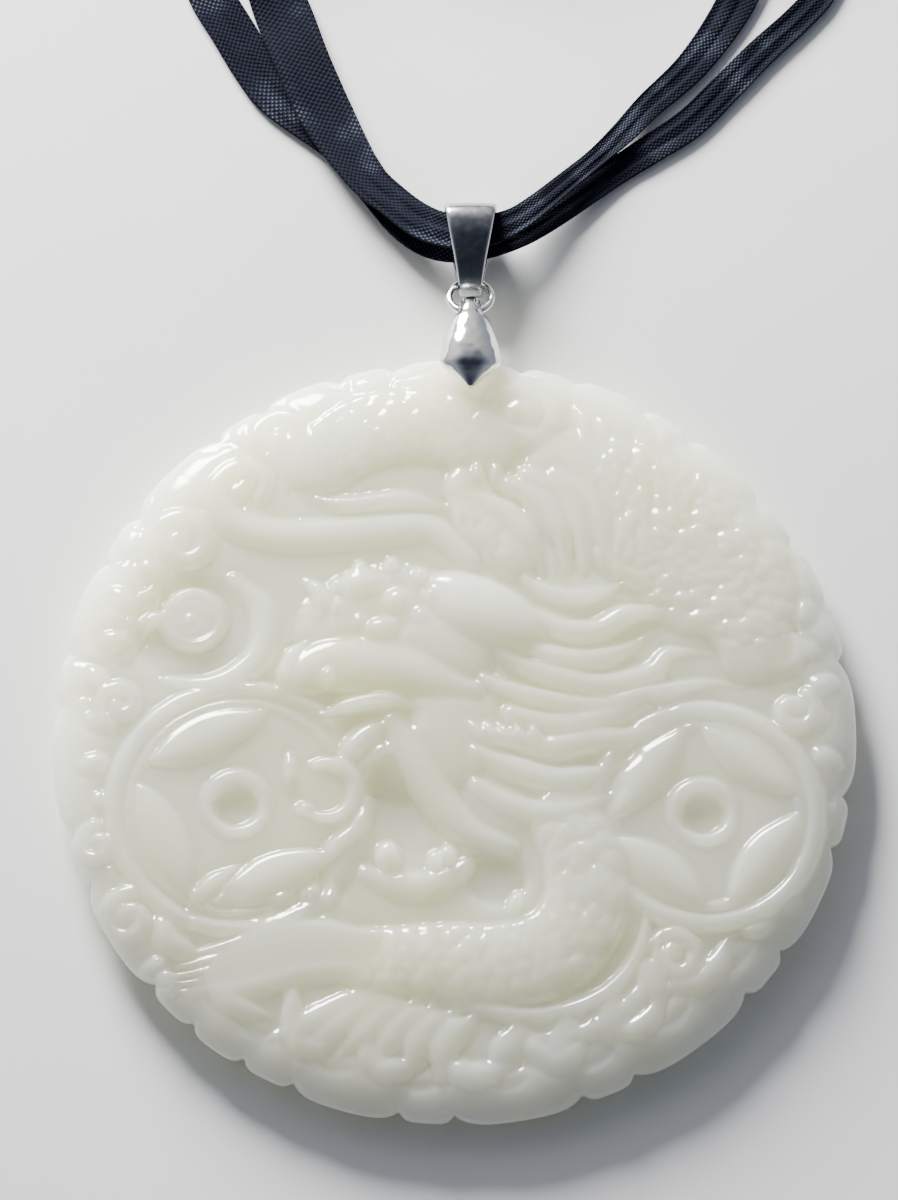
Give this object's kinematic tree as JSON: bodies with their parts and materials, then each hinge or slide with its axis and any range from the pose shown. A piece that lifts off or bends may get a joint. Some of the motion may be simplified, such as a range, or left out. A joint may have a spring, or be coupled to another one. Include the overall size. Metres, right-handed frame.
{
  "type": "carved jade disc pendant",
  "caption": "Round pale jade pendant with a scalloped cloud rim and a dragon head, coins and pearl carved in relief, hung by a metal bail on dark gauze ribbons that are coiled and tied.",
  "frame": {"origin": "centre of the disc's flat back, on the surface it lies on", "axes": "+Z out of the carved face, +Y from the disc's centre to the bail, +X to the right of the carving"},
  "size_m": [0.0603, 0.1375, 0.006],
  "materials": {
    "jade": "polished milky stone, slightly translucent",
    "metal": "polished plated metal",
    "gauze": "sheer dark ribbon with a dotted selvedge"
  },
  "bodies": {
    "root": {"jade_disc": "jade", "pinch_cap": "metal", "jump_ring": "metal", "bail": "metal", "ribbon_a": "gauze", "ribbon_b": "gauze", "ribbon_coil": "gauze", "coil_tie": "gauze", "crimp_left": "metal", "crimp_right": "metal", "clasp": "metal", "clasp_ring": "metal"}
  },
  "joints": []
}
